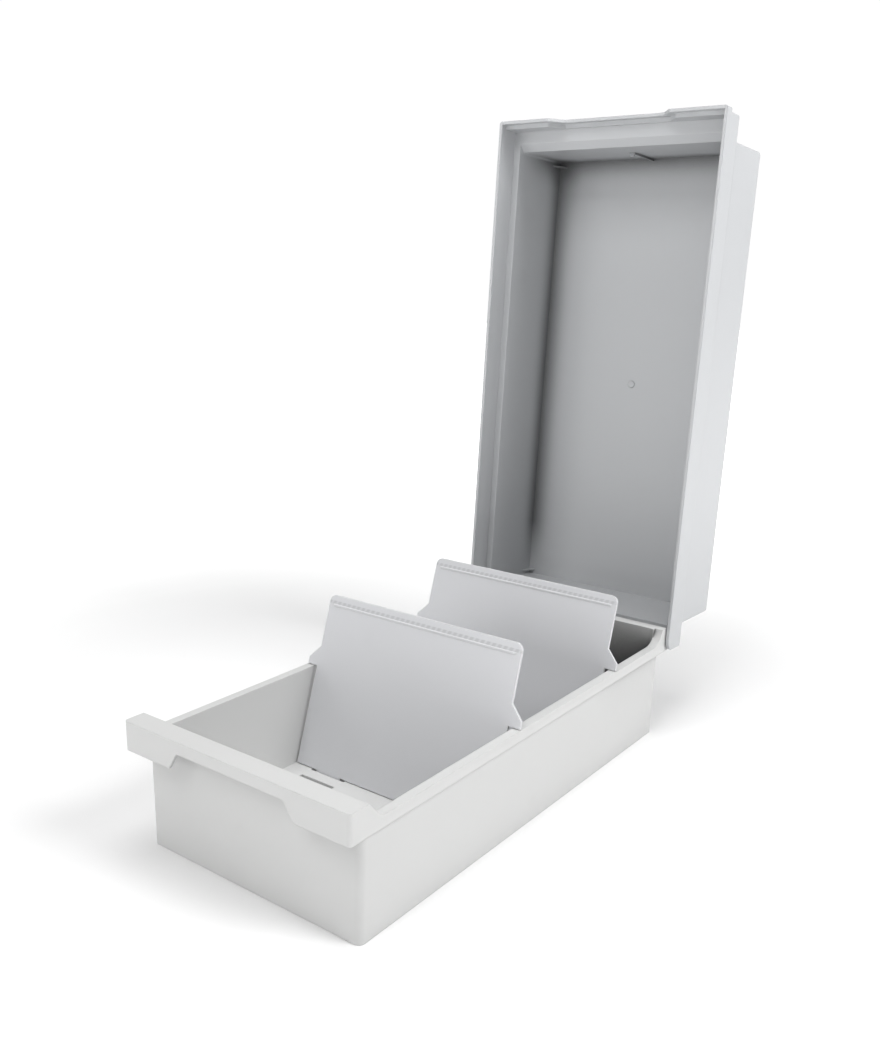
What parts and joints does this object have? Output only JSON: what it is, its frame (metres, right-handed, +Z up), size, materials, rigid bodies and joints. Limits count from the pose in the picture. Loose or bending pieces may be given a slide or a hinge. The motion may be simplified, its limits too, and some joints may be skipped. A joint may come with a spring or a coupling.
{
  "type": "index card box",
  "caption": "Index card box with an open tray, a deep hinged lid that fits over it, and leaning dividers whose tabs stand in slots in the floor",
  "frame": {"origin": "middle of the tray's base, on the surface it stands on", "axes": "+X to the right, +Y from the front lip to the hinge, +Z up"},
  "size_m": [0.18, 0.4652, 0.4485],
  "materials": {
    "shell": "light grey satin moulded plastic",
    "divider": "light grey satin moulded plastic",
    "pin": "plain drawn steel wire"
  },
  "bodies": {
    "tray": {"tray": "shell", "hinge_pin_left": "pin", "hinge_pin_right": "pin"},
    "lid": {"lid": "shell"},
    "divider_front": {"divider_front": "divider"},
    "divider_rear": {"divider_rear": "divider"}
  },
  "joints": [
    {"name": "lid_hinge", "type": "hinge", "parent": "tray", "child": "lid", "pos_m": [0, 0.1819, 0.0732], "axis": [1, 0, 0], "range_deg": [0, 93]},
    {"name": "divider_front_lift", "type": "slide", "parent": "tray", "child": "divider_front", "axis": [0, 0.2874, 0.9578], "range_m": [0, 0.002]},
    {"name": "divider_rear_lift", "type": "slide", "parent": "tray", "child": "divider_rear", "axis": [0, 0.2874, 0.9578], "range_m": [0, 0.002]}
  ]
}
